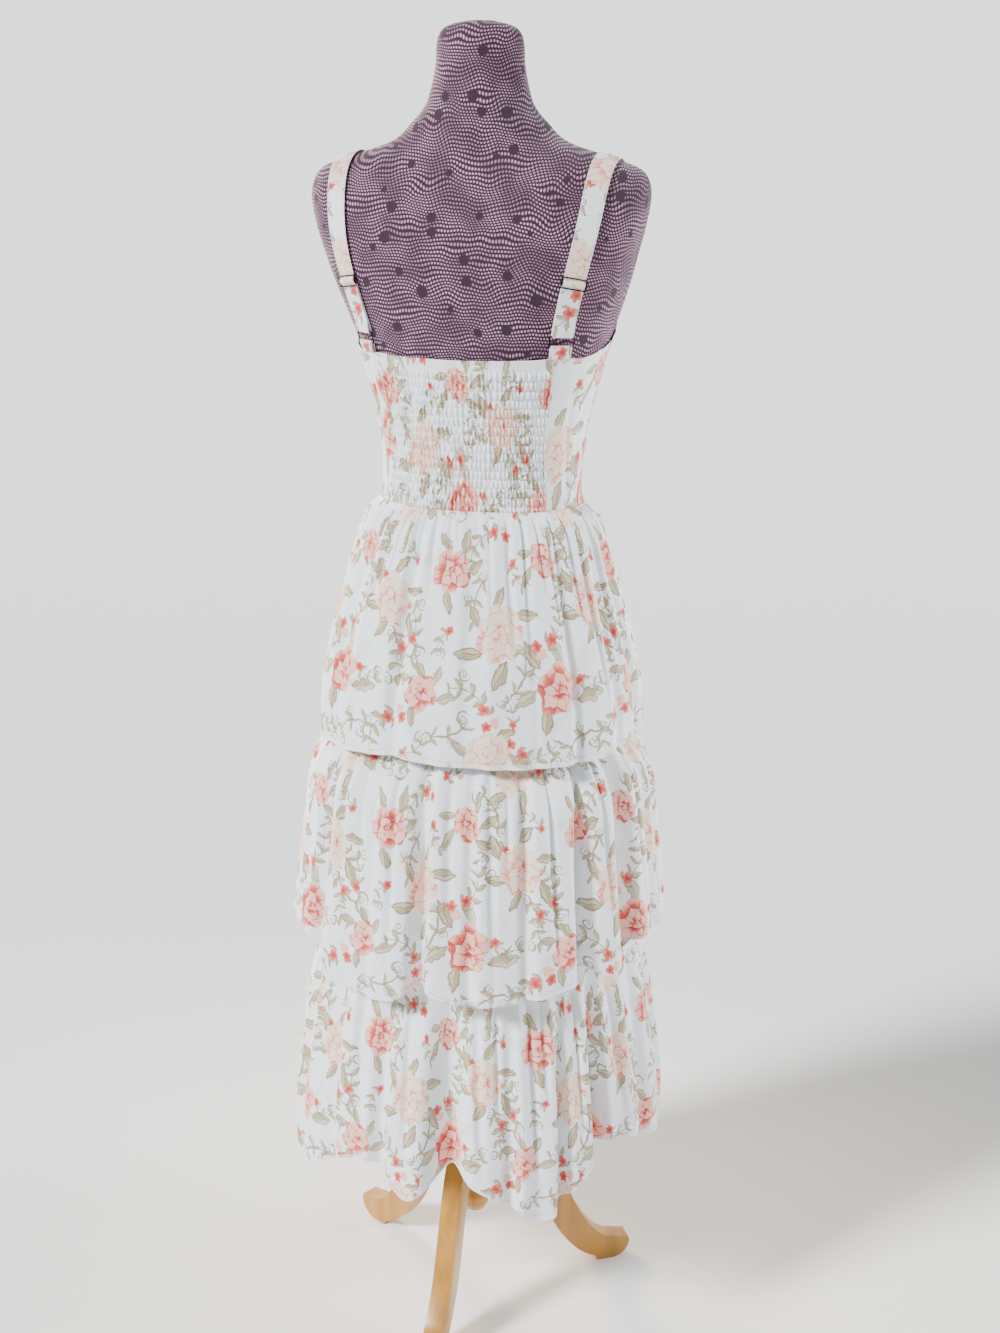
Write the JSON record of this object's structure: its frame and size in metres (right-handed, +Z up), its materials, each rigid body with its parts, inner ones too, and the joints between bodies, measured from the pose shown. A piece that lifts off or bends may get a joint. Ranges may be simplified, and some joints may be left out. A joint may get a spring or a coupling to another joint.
{
  "type": "milkmaid dress on a dress form",
  "caption": "Sleeveless midi dress with a shirred back, gathered cups, adjustable straps and gathered tiers, worn by a limbless dress form on a curved-leg tripod stand.",
  "frame": {"origin": "floor level under the stand, at the middle of the part's outline from above", "axes": "+Z up; the wearer's front faces -Y and the wearer's right is -X"},
  "size_m": [0.4776, 0.4373, 1.6006],
  "materials": {
    "printed_cotton": "woven, printed with flowers",
    "form_cover": "woven, printed with dots",
    "beech": "satin lacquer",
    "gunmetal": "dark plated"
  },
  "bodies": {
    "root": {"bodice_back_shirred": "printed_cotton", "bodice_side_left": "printed_cotton", "bodice_side_right": "printed_cotton", "bodice_front": "printed_cotton", "cup_left": "printed_cotton", "cup_right": "printed_cotton", "tier_1_back": "printed_cotton", "tier_1_front": "printed_cotton", "tier_2_back": "printed_cotton", "tier_2_front": "printed_cotton", "tier_3_back": "printed_cotton", "tier_3_front": "printed_cotton", "strap_left": "printed_cotton", "strap_right": "printed_cotton", "strap_tab_left": "printed_cotton", "strap_tab_right": "printed_cotton", "ring_left": "gunmetal", "ring_right": "gunmetal", "slider_left": "gunmetal", "slider_right": "gunmetal", "form_torso": "form_cover", "stand_column": "beech", "leg_back": "beech", "leg_left": "beech", "leg_right": "beech"}
  },
  "joints": []
}
